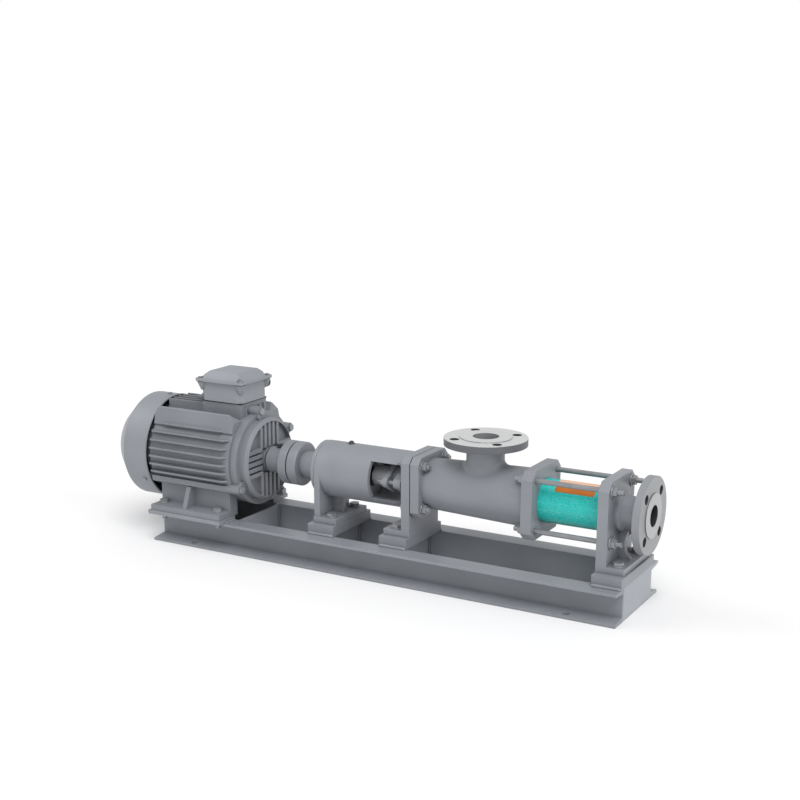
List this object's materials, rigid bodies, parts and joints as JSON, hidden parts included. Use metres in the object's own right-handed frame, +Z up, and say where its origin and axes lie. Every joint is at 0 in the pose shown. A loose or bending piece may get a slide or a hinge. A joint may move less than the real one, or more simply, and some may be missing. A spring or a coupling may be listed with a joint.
{
  "type": "progressive cavity pump",
  "caption": "Progressive cavity pump with motor, coupling, bearing housing and packed gland on a channel base, flanged inlet on top and flanged outlet at the end.",
  "frame": {"origin": "middle of the four anchor holes at the underside of the base", "axes": "+X along the shaft from the motor to the outlet, +Z up, -Y the front"},
  "size_m": [1.1765, 0.25, 0.3635],
  "materials": {
    "enamel": "satin enamel over castings and sections",
    "sheet_enamel": "satin enamel on pressed sheet",
    "tube_enamel": "green hammered enamel",
    "steel": "turned",
    "fasteners": "zinc plated and painted over",
    "stainless": "polished rotor",
    "lamination": "varnished laminations",
    "copper": "varnished copper wire",
    "lining_rubber": "moulded",
    "seal_rubber": "moulded",
    "packing": "braided graphite yarn",
    "gasket": "fibre sheet",
    "plastic": "moulded",
    "board": "moulded"
  },
  "bodies": {
    "frame": {"base_channel_front": "enamel", "base_channel_rear": "enamel", "base_plates": "enamel", "motor_pads": "enamel", "foot_pads": "enamel", "motor_frame": "enamel", "drive_end_shield": "enamel", "rear_end_shield": "enamel", "fan_cover": "sheet_enamel", "fan_cover_screws": "fasteners", "end_shield_bolts": "fasteners", "motor_foot_bolts": "fasteners", "motor_stator_core": "lamination", "motor_winding": "copper", "bearing_outer_rings": "steel", "bearing_housing": "enamel", "bearing_cover": "enamel", "bearing_cover_bolts": "fasteners", "oil_seals": "seal_rubber", "bearing_spacer": "steel", "grease_plug": "fasteners", "pump_foot_bolts": "fasteners", "stuffing_box": "enamel", "gland_follower": "enamel", "gland_studs": "fasteners", "packing_rings": "packing", "suction_casing": "enamel", "joint_gasket": "gasket", "joint_bolts": "fasteners", "stator_tube": "tube_enamel", "stator_lining": "lining_rubber", "tie_rods": "fasteners", "outlet_casing": "enamel", "terminal_box": "enamel", "terminal_box_lid": "enamel", "terminal_box_gasket": "seal_rubber", "terminal_lid_screws": "fasteners", "terminal_board": "board", "cable_gland": "enamel", "lifting_eye": "fasteners"},
    "motor_rotor": {"motor_shaft": "steel", "motor_rotor_core": "lamination", "motor_bearing_inner_rings": "steel", "cooling_fan": "plastic", "motor_shaft_key": "steel", "motor_coupling_half": "enamel", "motor_half_screw": "fasteners", "coupling_spider": "seal_rubber"},
    "drive_line": {"pump_shaft": "steel", "shaft_sleeve": "steel", "pump_bearing_inner_rings": "steel", "pump_shaft_key": "steel", "pump_coupling_half": "enamel", "pump_half_screw": "fasteners", "left_joint_pin": "steel"},
    "orbit_carrier": {"joint_boots": "seal_rubber"},
    "rod": {"joint_rod": "steel"},
    "rotor": {"helical_rotor": "stainless", "right_joint_pin": "steel"}
  },
  "joints": [
    {"name": "motor_shaft_spin", "type": "hinge", "parent": "frame", "child": "motor_rotor", "pos_m": [-0.273, 0, 0.183], "axis": [1, 0, 0], "continuous": true},
    {"name": "pump_shaft_spin", "type": "hinge", "parent": "frame", "child": "drive_line", "pos_m": [-0.096, 0, 0.183], "axis": [1, 0, 0], "continuous": true},
    {"name": "rotor_orbit", "type": "hinge", "parent": "frame", "child": "orbit_carrier", "pos_m": [0.2785, 0, 0.183], "axis": [1, 0, 0], "continuous": true},
    {"name": "joint_rod_spin", "type": "hinge", "parent": "orbit_carrier", "child": "rod", "pos_m": [0.1305, 0, 0.183], "axis": [0.9994, 0, 0.0338], "continuous": true},
    {"name": "rotor_spin", "type": "hinge", "parent": "orbit_carrier", "child": "rotor", "pos_m": [0.2785, 0, 0.188], "axis": [1, 0, 0], "continuous": true}
  ],
  "couplings": [
    {"joint": "pump_shaft_spin", "follows": "motor_shaft_spin", "ratio": 1},
    {"joint": "rotor_orbit", "follows": "motor_shaft_spin", "ratio": -1},
    {"joint": "joint_rod_spin", "follows": "motor_shaft_spin", "ratio": 2},
    {"joint": "rotor_spin", "follows": "motor_shaft_spin", "ratio": 2}
  ]
}
